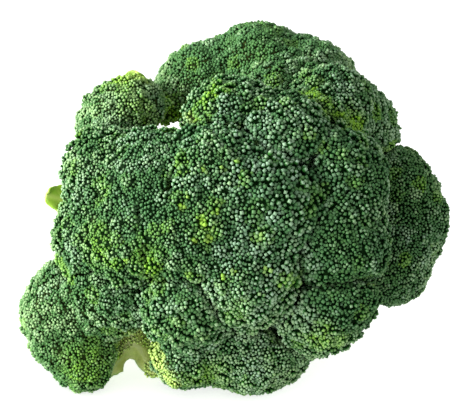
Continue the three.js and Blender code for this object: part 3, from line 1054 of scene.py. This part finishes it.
@dataclass
class Floret:
    """One floret: a bed with tufts of buds all over its outside."""

    node: str
    voxel_mm: float = 1.8
    smoothing: int = 3
    planting: Planting = Planting(per_mm2=6.0)
    tuft_planting: Planting = Planting(per_mm2=0.35)
    blocked_mm: float = 0.45  # no bud grows where another solid is this near in front of it
    surface_mm: float = 0.1  # how far off the surface that distance starts
    under_facing: float = -0.68  # below which the bed is bare
    bed_sink_mm: float = 1.25
    sink_fade: float = 0.2  # of the facing, at the bed's edge
    valley_sink: float = 0.6  # how much less the bed sinks in a valley
    shade_lift_bed: float = 0.3  # how much the bed's painted shade is lifted where painted light lifts the shade between buds
    pale_bed: float = 0.6  # how much lighter it is under pale buds
    pale_facing: float = -0.38  # from which it turns pale, at its underside
    pale_width: float = 0.27
    crowding: float = 1.3  # of a bud's size over its share of the surface
    shade_lift_growth: float = 0.15  # how much larger buds are where painted light lifts the shade between them
    sizes: Span = (0.78, 1.2)
    widths: Span = (0.85, 1.1)
    depths: Span = (0.9, 1.15)
    heights: Span = (0.9, 1.3)
    jitter: float = 0.16  # of the way a bud points
    valley_lean: float = 1.5  # how much more it points out of a valley
    lift_spread_mm: float = 0.12
    even_share: float = 0.5  # how much lower buds stand where they are even
    foot_room: float = 1.2  # of a bud's size, over the surface that the head rests on
    tuft_shade: float = 0.75  # how much darker buds are painted round a tuft's edge, a painted shade of the gaps between tufts
    tuft_level: float = 0.4  # of its squared radius, where they are neither darker nor lighter
    tone_spread: float = 0.28
    warm_spread: float = 0.15
    ripe_shares: Span = (0.4, 1.2)
    pale_shares: Span = (0.5, 1.2)

    def build(self, nodes: Nodes, buds: BudMap, materials: Materials, seed: int) -> bpy.types.Object:
        """Makes the floret's piece.

        Args:
            nodes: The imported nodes.
            buds: What the buds are like.
            materials: The bed's and the buds' materials.
            seed: The seed of its random numbers.

        Returns:
            The piece.
        """
        rng = np.random.default_rng(seed)
        ground = Ground(nodes[self.node], self.voxel_mm, self.smoothing)
        others = {name: node for name, node in nodes.items() if name != self.node}
        open_here = self._open_rule(joined_tree(others.values()))
        filling = Filling(joined_tree(node for name, node in others.items() if name.startswith("floret")))

        def bud_radius(point: Vector, normal: Vector) -> float:
            """The radius of a bud at one point."""
            return buds.radius(TO_GROWTH @ point) * MM if open_here(point, normal) else 0.0

        def tuft_radius(point: Vector, normal: Vector) -> float:
            """The radius of a tuft at one point."""
            return buds.tuft_radius(TO_GROWTH @ point) * MM if open_here(point, normal) else 0.0

        tufts = Tufts(self.tuft_planting.sites(ground, tuft_radius, rng), rng)
        sites = self.planting.sites(ground, bud_radius, rng)
        form = bmesh.new()
        form.from_mesh(ground.mesh)
        self._sink_bed(form, open_here, filling)
        crown = Crown(buds, tufts, filling, BudCopies(1, len(form.verts)), rng)
        for site in sites:
            self._plant(form, site, crown)
        mesh = mesh_of(form, self.node + "_buds", BASE_GAP)
        self._mark_buds(mesh, sites, crown)
        self._mark_bed(mesh, crown)
        return dressed(mesh, materials, crown.copies.made)

    def _open_rule(self, others: BVHTree) -> PlaceRule:
        """The rule for where buds grow.

        Args:
            others: The solids round this floret.

        Returns:
            A function from a point and its normal to whether buds grow there.
        """

        def open_here(point: Vector, normal: Vector) -> bool:
            """Whether buds grow at one point.

            Args:
                point: The point.
                normal: The surface's normal there.

            Returns:
                Whether they do.
            """
            if normal.dot((point - ROOT).normalized()) < self.under_facing:
                return False
            start = point + normal * self.surface_mm * MM
            return others.ray_cast(start, normal, self.blocked_mm * MM)[0] is None

        return open_here

    def _sink_bed(self, form: bmesh.types.BMesh, open_here: PlaceRule, filling: Filling) -> None:
        """Moves the bed in where buds grow, so that their feet are in it.

        Args:
            form: The bed.
            open_here: Whether buds grow at a point with a normal.
            filling: How the floret fills its valleys.
        """
        form.normal_update()
        for vert in form.verts:
            if open_here(vert.co, vert.normal):
                shift, valley = filling.shift(vert.co, vert.normal)
                facing = vert.normal.dot((vert.co - ROOT).normalized())
                fade = min(1.0, (facing - self.under_facing) / self.sink_fade)
                sink = self.bed_sink_mm * (1 - self.valley_sink * valley) * fade
                vert.co += shift - vert.normal * sink * MM
        soften(form)

    def _plant(self, form: bmesh.types.BMesh, site: Site, crown: Crown) -> None:
        """Plants one bud.

        Args:
            form: The floret.
            site: The bud's site.
            crown: What it grows by.
        """
        buds, tufts, rng = crown.buds, crown.tufts, crown.rng
        place = TO_GROWTH @ site.point
        index, share, off = tufts.at(site.point)
        jitter = Vector(rng.normal(0, self.jitter, 3))
        shift, valley = crown.filling.shift(site.point, site.normal)
        outward = site.outward() * self.valley_lean * valley
        axis = (site.normal + off * tufts.lean + jitter + outward).normalized()
        grown = self.crowding * (1 + self.shade_lift_growth * buds.calm(place))
        size = site.radius * grown * within(self.sizes, rng)
        wide, deep = size * within(self.widths, rng), size * within(self.depths, rng)
        lift = tufts.rise_mm(index, share, place) + float(rng.normal(0, self.lift_spread_mm))
        rise = lift * (1 - self.even_share * buds.evenness(place)) * MM
        centre = site.point + site.normal * rise + shift
        centre.z += max(0.0, BASE_GAP - (centre.z - size * self.foot_room))
        crown.copies.plant(form, centre, axis, (wide, deep, size * within(self.heights, rng)), rng)

    def _mark_buds(self, mesh: bpy.types.Mesh, sites: list[Site], crown: Crown) -> None:
        """Writes what the buds' material reads.

        Args:
            mesh: The floret's mesh: the bed first, and then each bud.
            sites: The buds' sites.
            crown: What they grow by.
        """
        buds, tufts, rng = crown.buds, crown.tufts, crown.rng
        marks: dict[str, list[float]] = {"tone": [], "warm": [], "ripe": [], "pale": [], "calm": []}
        for site in sites:
            place = TO_GROWTH @ site.point
            index, share, _ = tufts.at(site.point)
            facing = site.normal.dot(site.outward())
            # painted shade: buds round a tuft's edge are darker, where the gaps between tufts fall in shade
            shade = self.tuft_shade * (self.tuft_level - share**2)
            tone = buds.tone(place) + float(tufts.tones[index]) + shade
            marks["tone"].append(tone + rng.normal(0, self.tone_spread))
            marks["warm"].append(buds.warmth(place) + rng.normal(0, self.warm_spread))
            middle = TO_GROWTH @ tufts.middles[index].point
            marks["ripe"].append(buds.ripeness(place, middle, facing) * within(self.ripe_shares, rng))
            marks["pale"].append(buds.paleness(place, facing) * within(self.pale_shares, rng))
            marks["calm"].append(buds.calm(place))
        crown.copies.mark(mesh, marks)

    def _mark_bed(self, mesh: bpy.types.Mesh, crown: Crown) -> None:
        """Writes what the bed's material reads.

        Args:
            mesh: The floret's mesh: the bed first, and then each bud.
            crown: What the buds grow by.
        """
        size = crown.copies.first
        away = rows(mesh.vertices, "co")[:size] - np.array(ROOT)
        away /= np.linalg.norm(away, axis=1, keepdims=True)
        facing = (rows(mesh.vertex_normals, "vector")[:size] * away).sum(1)
        light = []
        # painted light: the bed's painted shade is lifted where the shade between buds is lifted, and it is
        # paler under pale buds
        for place in (TO_GROWTH @ vert.co for vert in mesh.vertices[:size]):
            pale = self.pale_bed * crown.buds.paleness(place, 1.0)
            light.append(max(self.shade_lift_bed * crown.buds.calm(place), pale))
        under = np.clip((self.pale_facing - facing) / self.pale_width, 0, 1)
        write(mesh, "under", np.maximum(under, light))


# ---------------------------------------------------------------- stalk and leaves


@dataclass
class Stalk:
    """The trunk, limbs and stems as one body, with young buds where it meets the florets."""

    node: str = "stalk"
    voxel_mm: float = 1.6
    smoothing: int = 4
    rest_mm: float = 1.5  # how high the skin stays as it is, so that it rests as the solid does
    knob_mm: float = 0.35  # of the skin's slow unevenness
    knob_density: Place = (0.3, 0.3, 0.08)
    hollows: tuple[Patch, ...] = patches(  # where the lowest branches are thinner
        (-38.5, -50.5, -2, 5, -2.6), (-41.5, -54.2, -0.5, 3.5, -1.8), (-43.5, -56.5, 0, 4, -0.8)
    )
    cut_depth_mm: float = 1.2
    cut_edge_mm: float = 0.01  # within which of the cut's plane a corner is on it
    cut_skin_mm: float = 0.05  # within which of the plane a face is part of the cut
    ring_shares: tuple[float, ...] = (0.95, 0.93, 0.92, 0.92, 0.85, 0.7, 0.5)  # of the cut, each of the last
    ring_radius: float = 13.2  # of the darker ring in the cut
    ring_width: float = 1.1
    young_reach_mm: float = 18.0  # how far from the florets the skin is young
    young_strength: float = 2.0
    fresh_side: float = 0.15  # how fresh the young skin is
    fresh_under: float = 1.2  # how much fresher it is where it faces down
    fringe_lowest_mm: float = 1.4  # over the surface that the head rests on
    fringe_reach_mm: float = 1.2  # how far from a floret young buds grow
    fringe_cloud: Cloud = Cloud(1.0, 0.4)
    fringe_change: float = 0.6  # of the reach
    fringe_patches: tuple[Patch, ...] = patches(  # where it is wider
        (-34.5, -39.5, 0, 6.5, 1.0), (-29.5, -45, -1, 4, 1.0), (-28, -50, -1, 3.5, 1.0),
        (-40.5, -44, 1, 4.5, 1.0), (-29, -54.5, -1.5, 4, 1.2),
    )  # fmt: skip
    fringe_edge: Place = (0.05, 0.25, 0.4)  # the least share of patches, the middle one and its change
    fringe_surface_mm: float = 0.05  # how far off the skin the room for a bud starts
    fringe_room_mm: float = 0.5  # that a young bud needs in front of it
    fringe_bud_mm: float = 0.52
    fringe_sizes: Span = (0.8, 1.3)
    fringe_rises_mm: Span = (0.2, 0.9)
    fringe_jitter: float = 0.25  # of the way a young bud points
    fringe_planting: Planting = Planting(per_mm2=6.0, closeness=0.85, rounds=2)
    # the young buds are lighter and paler: partly their own pale colour, partly painted light against the
    # crown's shade
    fringe_marks: tuple[tuple[str, float, float], ...] = (  # each with its middle and its spread
        ("tone", 1.0, 0.2),
        ("warm", 0.7, 0.2),
        ("ripe", 0.9, 0.2),
        ("pale", 0.9, 0.2),
    )

    def build(self, nodes: Nodes, materials: Materials, seed: int) -> bpy.types.Object:
        """Makes the stalk's piece.

        Args:
            nodes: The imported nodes.
            materials: The skin's, the cut flesh's and the buds' materials.
            seed: The seed of its random numbers.

        Returns:
            The piece.
        """
        rng = np.random.default_rng(seed)
        ground = Ground(nodes[self.node], self.voxel_mm, self.smoothing)
        florets = joined_tree(node for name, node in nodes.items() if name.startswith("floret"))
        form = bmesh.new()
        form.from_mesh(ground.mesh)
        self._knobs(form)
        self._cut_end(form)
        for face in form.faces:
            face.smooth = face.material_index == 0
        buds = BudCopies(2, len(form.verts))
        self._fringe(form, ground, florets, buds, rng)
        mesh = mesh_of(form, "stalk_body", BASE_GAP)
        self._mark_skin(mesh, florets)
        marks = {name: rng.normal(middle, spread, buds.made) for name, middle, spread in self.fringe_marks}
        buds.mark(mesh, marks)
        return dressed(mesh, materials, buds.made)

    def _knobs(self, form: bmesh.types.BMesh) -> None:
        """Gives the skin slow unevenness and hollows.

        Args:
            form: The body.
        """
        form.normal_update()
        for vert in form.verts:
            if vert.co.z > self.rest_mm * MM:
                place = TO_GROWTH @ vert.co
                along = Vector([part * density for part, density in zip(place, self.knob_density)])
                hollow = total(self.hollows, place)
                vert.co += vert.normal * (self.knob_mm * noise.noise(along) + hollow) * MM

    def _cut_end(self, form: bmesh.types.BMesh) -> None:
        """Cuts the trunk's end flat and gives the cut its rings.

        Args:
            form: The body.
        """
        end = min((TO_GROWTH @ vert.co).z for vert in form.verts)
        middle = TO_WORLD @ Vector((0, 0, end + self.cut_depth_mm))
        down = (TO_WORLD.to_3x3() @ Vector((0, 0, -1))).normalized()
        cut = bmesh.ops.bisect_plane(
            form,
            geom=form.verts[:] + form.edges[:] + form.faces[:],
            dist=self.cut_edge_mm * MM,
            plane_co=middle,
            plane_no=down,
            clear_outer=True,
        )
        rim = [item for item in cut["geom_cut"] if isinstance(item, bmesh.types.BMEdge)]
        for share in self.ring_shares:
            made = bmesh.ops.extrude_edge_only(form, edges=rim)["geom"]
            inner = [item for item in made if isinstance(item, bmesh.types.BMVert)]
            for vert in inner:
                vert.co = middle + (vert.co - middle) * share
            edges = (edge for vert in inner for edge in vert.link_edges if edge.is_boundary)
            rim = list(dict.fromkeys(edges))
        cap = bmesh.ops.contextual_create(form, geom=rim)["faces"]
        bmesh.ops.recalc_face_normals(form, faces=form.faces)
        for face in form.faces:
            off = abs((face.calc_center_median() - middle).dot(down))
            if face in cap or off < self.cut_skin_mm * MM:
                face.material_index = 1

    def _fringe(
        self, form: bmesh.types.BMesh, ground: Ground, florets: BVHTree, buds: BudCopies, rng: Draws
    ) -> None:
        """Plants young buds on the stems' ends, round the florets.

        Args:
            form: The body.
            ground: The body's surface.
            florets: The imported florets.
            buds: The buds, which are planted.
            rng: The seeded generator.
        """
        least, edge, change = self.fringe_edge

        def radius_at(point: Vector, normal: Vector) -> float:
            """The radius of a bud, which grows only round the florets, where there is room for it.

            Args:
                point: The bud's point.
                normal: The surface's normal there.

            Returns:
                The radius in metres, or 0 where there is no bud.
            """
            ragged = self.fringe_cloud.at(point / MM)
            reach = self.fringe_reach_mm * (1 + self.fringe_change * ragged) * MM
            wide = total(self.fringe_patches, TO_GROWTH @ point) > max(least, edge + change * ragged)
            if point.z < self.fringe_lowest_mm * MM or not (wide or florets.find_nearest(point, reach)[0]):
                return 0.0
            start = point + normal * self.fringe_surface_mm * MM
            if florets.ray_cast(start, normal, self.fringe_room_mm * MM)[0]:
                return 0.0
            return self.fringe_bud_mm * MM

        for site in self.fringe_planting.sites(ground, radius_at, rng):
            size = site.radius * within(self.fringe_sizes, rng)
            axis = (site.normal + Vector(rng.normal(0, self.fringe_jitter, 3))).normalized()
            centre = site.point + site.normal * within(self.fringe_rises_mm, rng) * MM
            buds.plant(form, centre, axis, (size, size, size), rng)

    def _mark_skin(self, mesh: bpy.types.Mesh, florets: BVHTree) -> None:
        """Writes how young and fresh the skin is, and the ring of the cut.

        Args:
            mesh: The stalk's mesh.
            florets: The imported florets.
        """
        reach = self.young_reach_mm * MM
        young, fresh, rings = [], [], []
        for vert in mesh.vertices:
            gap = florets.find_nearest(vert.co, reach)[3]
            young.append(0.0 if gap is None else min(1.0, self.young_strength * (1 - gap / reach)))
            fresh.append(young[-1] * min(1.0, self.fresh_side + self.fresh_under * max(0.0, -vert.normal.z)))
            place = TO_GROWTH @ vert.co
            off = (math.hypot(place.x, place.y) - self.ring_radius) / self.ring_width
            rings.append(math.exp(-(off**2)))
        for name, values in (("young", young), ("fresh", fresh), ("ring", rings)):
            write(mesh, name, np.array(values))


@dataclass
class Leaf:
    """A small leaf: a narrow stalk and a blade with a rib, side veins and a waved, scalloped edge."""

    node: str
    path: tuple[Place, ...]
    width: float
    thickness: float = 0.8
    stalk_width: float = 3.2
    rows: int = 60
    columns: int = 20
    blade_from: float = 0.3  # of the length
    blade_widens: float = 0.4
    tip_power: int = 10  # how blunt the tip is
    tip_least: float = 0.12
    scallops: tuple[Span, ...] = ((0.07, 38), (0.04, 91))  # the depth and the pace of coarse and fine ones
    rib_width: float = 0.9
    rib_height: float = 0.35
    vein_pace: float = 26
    vein_lean: float = 0.16
    vein_power: int = 14  # how thin the side veins are
    vein_share: float = 0.8
    wave_height: float = 0.9
    wave_pace: float = 22
    wave_lean: float = 2
    cup_depth: float = 0.8
    cup_level: float = 0.4

    def _spine(self, along: float) -> tuple[Vector, Vector]:
        """A point of the leaf's middle line, and the direction there.

        Args:
            along: The share of the way from the foot to the tip.

        Returns:
            The point and the unit direction, in the growth frame.
        """
        points = [Vector(point) for point in self.path]
        points = [2 * points[0] - points[1], *points, 2 * points[-1] - points[-2]]
        spans = len(points) - 3
        step = min(int(along * spans), spans - 1)
        t = along * spans - step
        a, b, c, d = points[step : step + 4]
        bend, twist = 2 * a - 5 * b + 4 * c - d, 3 * b - a - 3 * c + d
        place = 0.5 * (2 * b + (c - a) * t + bend * t**2 + twist * t**3)
        way = 0.5 * ((c - a) + 2 * bend * t + 3 * twist * t**2)
        return place, way.normalized()

    def _shape(self, along: float, across: float) -> tuple[Vector, float]:
        """A point of the leaf's middle sheet, and how much vein there is.

        Args:
            along: From the foot, 0, to the tip, 1.
            across: From edge to edge, -1 to 1.

        Returns:
            The point in the growth frame and the share of vein.
        """
        spine, way = self._spine(along)
        sideways = Vector((0, 0, 1)).cross(way).normalized()
        facing = way.cross(sideways)
        tip = math.sqrt(max(0.0, 1.0 - along**self.tip_power))
        blade = clamped((along - self.blade_from) / self.blade_widens)
        blade = blade * blade * (3 - 2 * blade)
        (coarse, coarse_pace), (fine, fine_pace) = self.scallops
        scallop = 1 + coarse * math.cos(coarse_pace * along) * blade
        scallop += fine * math.sin(fine_pace * along) * blade
        widened = (self.width - self.stalk_width) / 2 * blade * scallop
        half = (self.stalk_width / 2 + widened) * max(self.tip_least, tip)
        rib = math.exp(-((across * half / self.rib_width) ** 2))
        streak = abs(math.sin(self.vein_pace * (along - self.vein_lean * abs(across)))) ** self.vein_power
        vein = max(rib, streak * blade * (1 - abs(across)) * self.vein_share)
        wave = math.sin(self.wave_pace * along + self.wave_lean * across)
        wave *= self.wave_height * across**2 * blade
        cup = self.cup_depth * blade * (across**2 - self.cup_level)
        return spine + sideways * across * half + facing * (wave + cup + self.rib_height * vein), vein

    def build(self, material: bpy.types.Material) -> bpy.types.Object:
        """Makes the leaf's piece.

        Args:
            material: Its material.

        Returns:
            The piece.
        """
        form = bmesh.new()
        bmesh.ops.create_grid(form, x_segments=self.columns, y_segments=self.rows, size=1)
        veins = form.verts.layers.float.new("vein")
        for vert in form.verts:
            point, vein = self._shape((vert.co.y + 1) / 2, vert.co.x)
            vert.co = TO_WORLD @ point
            vert[veins] = vein
        soften(form)
        piece = dressed(mesh_of(form, self.node + "_blade"), [material], 0)
        walls = piece.modifiers.new("walls", "SOLIDIFY")
        walls.thickness = self.thickness * MM
        walls.offset = 0
        return piece


# ---------------------------------------------------------------- stage


@dataclass(frozen=True)
class Lamp:
    """A soft square light that shines at the middle of the head, on some of the pieces."""

    name: str
    place: Place  # in metres
    watts: float
    lights: str = ""  # how the names of its pieces start
    size: float = 0.6  # in metres

    def build(self, target: Vector, receivers: bpy.types.Collection) -> None:
        """Makes the light.

        Args:
            target: Where it shines.
            receivers: The pieces that it lights.
        """
        data = bpy.data.lights.new(self.name, "AREA")
        data.energy = self.watts
        data.size = self.size
        lamp = added(self.name, data)
        lamp.location = self.place
        lamp.rotation_euler = (target - Vector(self.place)).to_track_quat("-Z", "Y").to_euler()
        lamp.light_linking.receiver_collection = receivers


@dataclass
class Studio:
    """The floor, the lights and the camera."""

    target: Vector = field(default_factory=lambda: TO_WORLD @ Vector((0, 0, 25)))
    elevation: float = math.radians(28)
    distance: float = 0.65  # in metres
    seen_width: float = 0.1643  # of the plane through the target, in metres
    sensor_mm: float = 36.0
    table_half: float = 3.0  # of its width, in metres
    table_greys: Span = (0.9, 0.92)
    table_glow: float = 0.7
    backdrop_glow: float = 0.92
    lamps: tuple[Lamp, ...] = (
        Lamp("key", (-1.15, -0.1, 0.55), 45),
        Lamp("low front", (-1.0, -0.9, 0.15), 19.5),
        Lamp("leaf lamp", (-0.5, -0.9, 0.6), 12, "leaf_left"),
        Lamp("stem lamp", (-0.25, -1.1, 0.2), 6, "stalk"),
    )

    def _camera(self) -> None:
        """Makes the scene's camera."""
        back = Vector((0, -math.cos(self.elevation), math.sin(self.elevation)))
        data = bpy.data.cameras.new("camera")
        data.sensor_width = self.sensor_mm
        data.lens = self.sensor_mm * self.distance / self.seen_width
        camera = added("camera", data)
        camera.location = self.target + back * self.distance
        camera.rotation_euler = (-back).to_track_quat("-Z", "Y").to_euler()
        bpy.context.scene.camera = camera

    def _table(self) -> None:
        """Makes the white surface that the head lies on, and the white world round it."""
        form = bmesh.new()
        bmesh.ops.create_grid(form, x_segments=1, y_segments=1, size=self.table_half)
        mesh = mesh_of(form, "floor")
        recipe = Recipe("floor")
        dark, light = ((grey, grey, grey) for grey in self.table_greys)
        colour = recipe.blend(recipe.grain(300.0), dark, light)
        recipe.constant(Emission_Color=(1.0, 1.0, 1.0), Emission_Strength=self.table_glow)
        mesh.materials.append(recipe.finish(colour, 0.9, recipe.grain(100.0), 0.0))
        added("floor", mesh)
        world = bpy.data.worlds.new("studio")
        world.use_nodes = True
        backdrop = world.node_tree.nodes["Background"]
        backdrop.inputs["Color"].default_value = (1, 1, 1, 1)
        backdrop.inputs["Strength"].default_value = self.backdrop_glow
        bpy.context.scene.world = world

    def build(self, pieces: Iterable[bpy.types.Object]) -> None:
        """Makes the whole stage.

        Args:
            pieces: The object's pieces, which alone get the lamps' light.
        """
        groups = {start: bpy.data.collections.new("lit " + start) for start in ("", "leaf_left", "stalk")}
        for piece in pieces:
            for start, group in groups.items():
                if piece.name.startswith(start):
                    group.objects.link(piece)
        self._table()
        for lamp in self.lamps:
            lamp.build(self.target, groups[lamp.lights])
        self._camera()
        bpy.context.scene.view_settings.view_transform = "Standard"


@dataclass
class Head:
    """The whole head of broccoli."""

    florets: tuple[str, ...] = (
        "floret_top", "floret_upper", "floret_upper_right", "floret_upper_left", "floret_left",
        "floret_centre", "floret_centre_right", "floret_right", "floret_lower_right", "floret_bottom",
        "floret_lower_left",
    )  # fmt: skip
    leaves: tuple[Leaf, ...] = (
        Leaf("leaf_left", ((-25.1, 3, 0), (-44, 2.5, -4), (-58, 6, 1), (-68, 7.5, 9)), 11),
        Leaf("leaf_upper_left", ((-31.5, 20, -13), (-35, 34, -16), (-37, 46, -10), (-37, 55.3, 2)), 12),
    )
    stalk_seed: int = 97

    def settle(self, piece: bpy.types.Object, node: str, slot: Slot) -> bpy.types.Object:
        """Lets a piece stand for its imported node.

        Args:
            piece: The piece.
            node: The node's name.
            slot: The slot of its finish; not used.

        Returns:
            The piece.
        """
        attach(piece, "root")
        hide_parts(node)
        return piece

    def build(self, nodes: Nodes) -> list[bpy.types.Object]:
        """Makes every piece.

        Args:
            nodes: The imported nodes.

        Returns:
            The pieces.
        """
        pieces = []
        bud_skins = [BedFinish().material(), BudFinish().material()]
        buds = BudMap()
        for seed, name in enumerate(self.florets):
            pieces.append(self.settle(Floret(name).build(nodes, buds, bud_skins, seed), name, Slot.BUDS))
        skins = [StalkFinish().material(), CutFinish().material(), bud_skins[1]]
        pieces.append(self.settle(Stalk().build(nodes, skins, self.stalk_seed), "stalk", Slot.STALK))
        skin = LeafFinish().material()
        for leaf in self.leaves:
            pieces.append(self.settle(leaf.build(skin), leaf.node, Slot.LEAF))
        return pieces


def main() -> None:
    """Builds the head and its stage."""
    logging.basicConfig(level=logging.INFO, format="%(name)s: %(message)s", force=True)
    noise.seed_set(NOISE_SEED)
    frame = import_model()
    pieces = Head().build(frame["nodes"])
    Studio().build(pieces)


if __name__ == "__main__":
    main()
